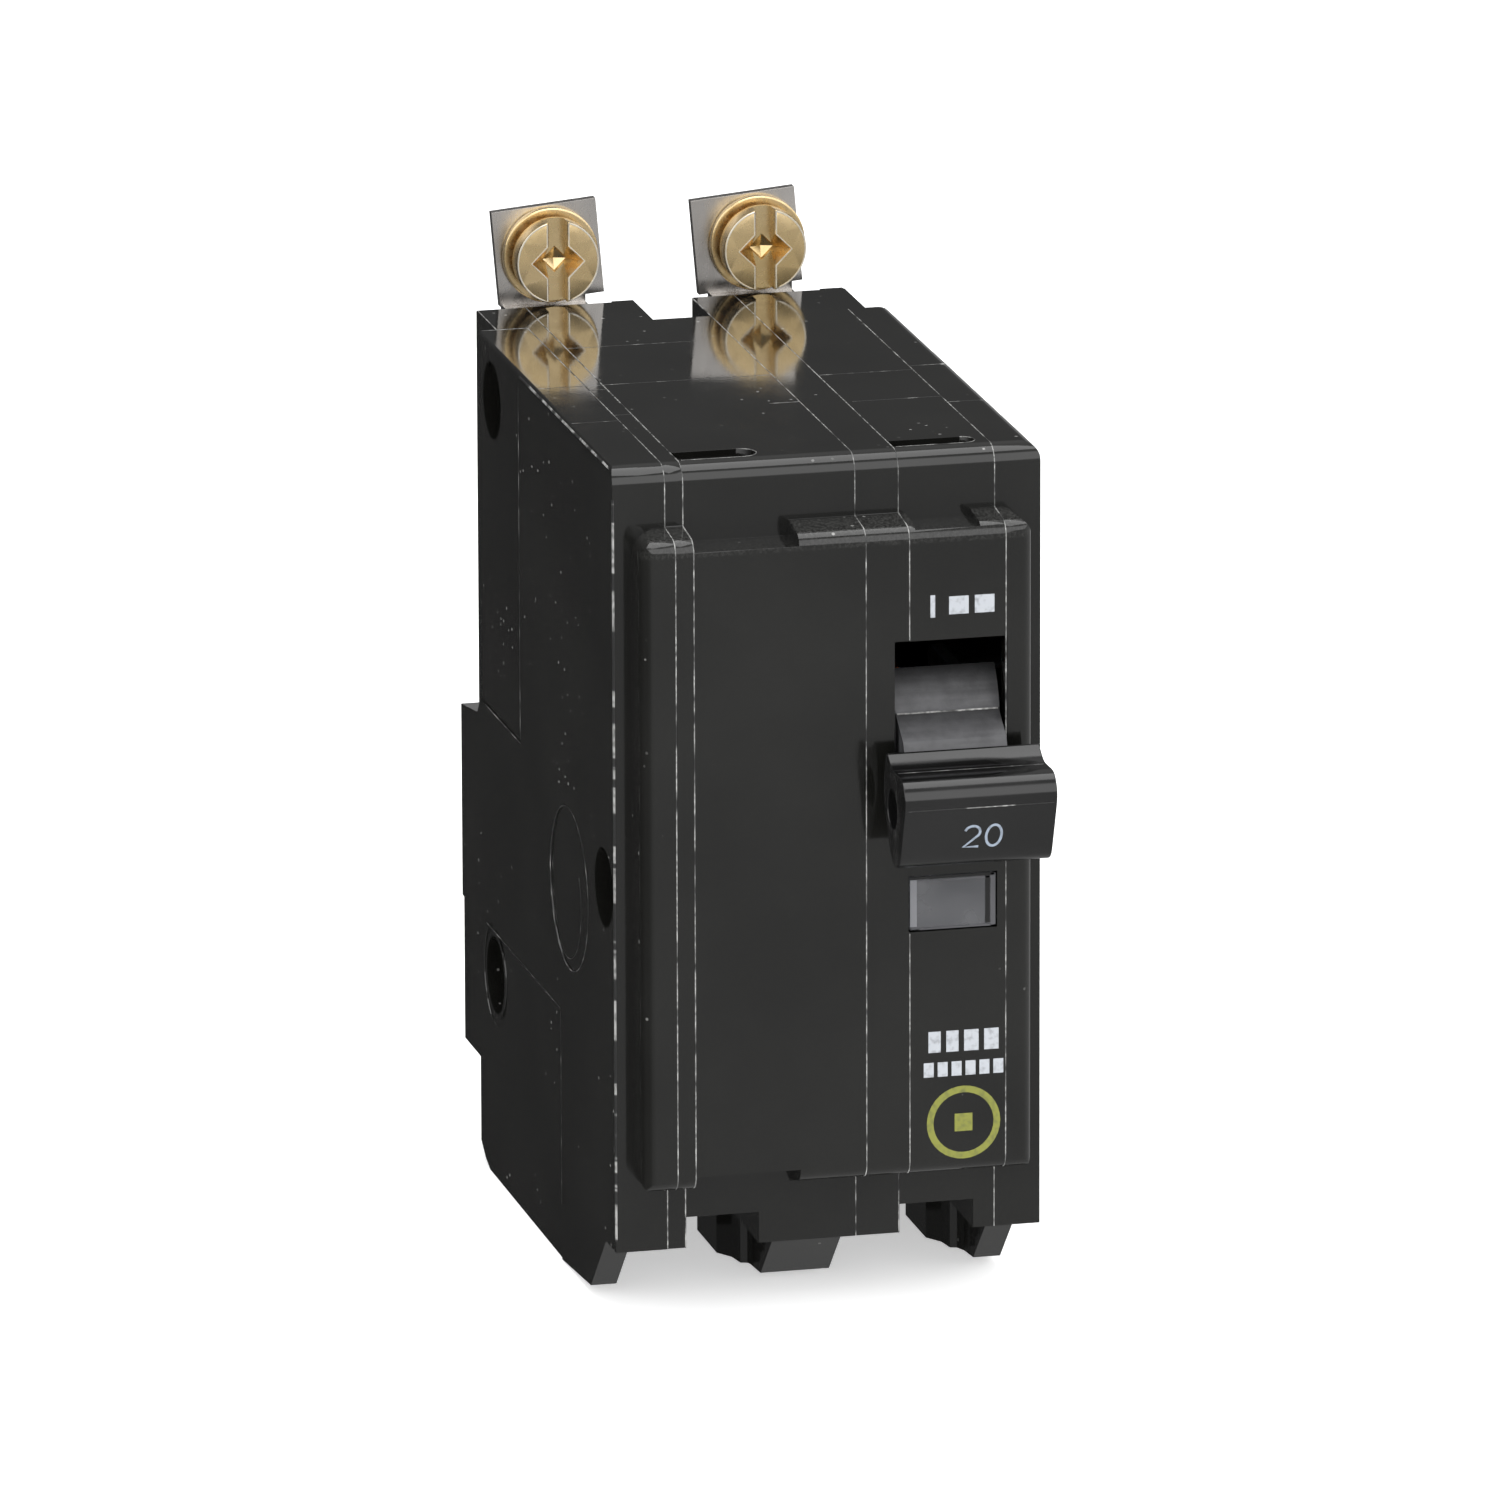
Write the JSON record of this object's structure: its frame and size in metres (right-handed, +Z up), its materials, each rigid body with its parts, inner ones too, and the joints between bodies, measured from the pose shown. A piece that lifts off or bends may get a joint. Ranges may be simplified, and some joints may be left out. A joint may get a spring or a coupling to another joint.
{
  "type": "circuit breaker",
  "caption": "Bolt-on miniature circuit breaker with a toggle handle on one pole, trip indicator window, bus tabs with brass screws and wire lugs in the underside",
  "frame": {"origin": "centre of the bounding box's footprint, on the plane that the skids stand on", "axes": "+X to the right seen from the handle side, +Y to the rear, where the bus tabs point, +Z up along the case's height"},
  "size_m": [0.0382, 0.0826, 0.0859],
  "materials": {
    "case_plastic": "glossy moulded black",
    "handle_plastic": "glossy black",
    "lens": "clear grey",
    "flag": "signal orange",
    "bar_plastic": "moulded",
    "tinned": "tin plate",
    "brass": "yellow passivated",
    "copper": "bare copper",
    "silver": "silver alloy",
    "bimetal": "bimetal strip",
    "fibre": "vulcanised fibre",
    "steel": "zinc plate"
  },
  "bodies": {
    "case": {"left_cover": "case_plastic", "pole_1_frame": "case_plastic", "pole_1_case": "case_plastic", "pole_2_base": "case_plastic", "pole_2_frame": "case_plastic", "right_cover": "case_plastic", "case_rivets": "steel", "indicator_lens": "lens", "flag_pin": "steel", "line_strap_1": "tinned", "line_strap_2": "tinned", "fixed_contact_1": "silver", "fixed_contact_2": "silver", "arm_pin_1": "steel", "arm_pin_2": "steel", "toggle_spring_1": "steel", "toggle_spring_2": "steel", "cradle_pin_1": "steel", "cradle_pin_2": "steel", "armature_pin_1": "steel", "armature_pin_2": "steel", "magnet_yoke_1": "steel", "magnet_yoke_2": "steel", "bimetal_1": "bimetal", "bimetal_2": "bimetal", "braid_1": "copper", "braid_2": "copper", "calibration_screw_1": "brass", "calibration_screw_2": "brass", "load_strap_1": "tinned", "load_strap_2": "tinned", "arc_frame_1": "fibre", "arc_frame_2": "fibre", "arc_plates_1": "steel", "arc_plates_2": "steel"},
    "handle": {"handle": "handle_plastic", "handle_shaft": "steel", "pole_1_crank": "handle_plastic"},
    "trip_bar": {"trip_bar": "bar_plastic"},
    "trip_flag": {"trip_flag": "flag"},
    "line_screw_1": {"line_screw_1": "brass", "screw_collar_1": "brass"},
    "line_screw_2": {"line_screw_2": "brass", "screw_collar_2": "brass"},
    "contact_arm_1": {"contact_arm_1": "copper", "moving_contact_1": "silver"},
    "contact_arm_2": {"contact_arm_2": "copper", "moving_contact_2": "silver"},
    "cradle_1": {"cradle_1": "steel"},
    "cradle_2": {"cradle_2": "steel"},
    "armature_1": {"armature_1": "steel"},
    "armature_2": {"armature_2": "steel"},
    "lug_1": {"lug_clamp_1": "steel", "lug_screw_1": "steel"},
    "lug_2": {"lug_clamp_2": "steel", "lug_screw_2": "steel"}
  },
  "joints": [
    {"name": "handle_throw", "type": "hinge", "parent": "case", "child": "handle", "pos_m": [0, -0.02363, 0.0526], "axis": [-1, 0, 0], "range_deg": [0, 34]},
    {"name": "trip_turn", "type": "hinge", "parent": "case", "child": "trip_bar", "pos_m": [0, 0.01477, 0.0306], "axis": [-1, 0, 0], "range_deg": [0, 10], "stiffness_Nm_per_rad": 0.01, "springref_deg": -11.46},
    {"name": "flag_swing", "type": "hinge", "parent": "case", "child": "trip_flag", "pos_m": [0.01035, -0.00873, 0.0296], "axis": [-1, 0, 0], "range_deg": [0, 10]},
    {"name": "arm_swing_1", "type": "hinge", "parent": "case", "child": "contact_arm_1", "pos_m": [-0.00915, -0.01073, 0.0506], "axis": [1, 0, 0], "range_deg": [0, 8], "deforming": ["toggle_spring_1"]},
    {"name": "cradle_drop_1", "type": "hinge", "parent": "case", "child": "cradle_1", "pos_m": [-0.01365, -0.01323, 0.0646], "axis": [-1, 0, 0], "range_deg": [0, 10]},
    {"name": "armature_pull_1", "type": "hinge", "parent": "case", "child": "armature_1", "pos_m": [-0.0093, 0.01128, 0.0466], "axis": [-1, 0, 0], "range_deg": [0, 4]},
    {"name": "screw_turn_1", "type": "hinge", "parent": "case", "child": "line_screw_1", "pos_m": [-0.00995, 0.03427, 0.081], "axis": [0, 1, 0], "continuous": true},
    {"name": "lug_open_1", "type": "slide", "parent": "case", "child": "lug_1", "axis": [0, 0, -1], "range_m": [0, 0.0035]},
    {"name": "arm_swing_2", "type": "hinge", "parent": "case", "child": "contact_arm_2", "pos_m": [0.0099, -0.01073, 0.0506], "axis": [1, 0, 0], "range_deg": [0, 8], "deforming": ["toggle_spring_2"]},
    {"name": "cradle_drop_2", "type": "hinge", "parent": "case", "child": "cradle_2", "pos_m": [0.0054, -0.01323, 0.0646], "axis": [-1, 0, 0], "range_deg": [0, 10]},
    {"name": "armature_pull_2", "type": "hinge", "parent": "case", "child": "armature_2", "pos_m": [0.00975, 0.01128, 0.0466], "axis": [-1, 0, 0], "range_deg": [0, 4]},
    {"name": "screw_turn_2", "type": "hinge", "parent": "case", "child": "line_screw_2", "pos_m": [0.0091, 0.03427, 0.081], "axis": [0, 1, 0], "continuous": true},
    {"name": "lug_open_2", "type": "slide", "parent": "case", "child": "lug_2", "axis": [0, 0, -1], "range_m": [0, 0.0035]}
  ],
  "couplings": [
    {"joint": "flag_swing", "follows": "trip_turn", "ratio": 1},
    {"joint": "arm_swing_1", "follows": "handle_throw", "ratio": 0.23529},
    {"joint": "cradle_drop_1", "follows": "trip_turn", "ratio": 1},
    {"joint": "armature_pull_1", "follows": "trip_turn", "ratio": 0.4},
    {"joint": "arm_swing_2", "follows": "handle_throw", "ratio": 0.23529},
    {"joint": "cradle_drop_2", "follows": "trip_turn", "ratio": 1},
    {"joint": "armature_pull_2", "follows": "trip_turn", "ratio": 0.4}
  ]
}
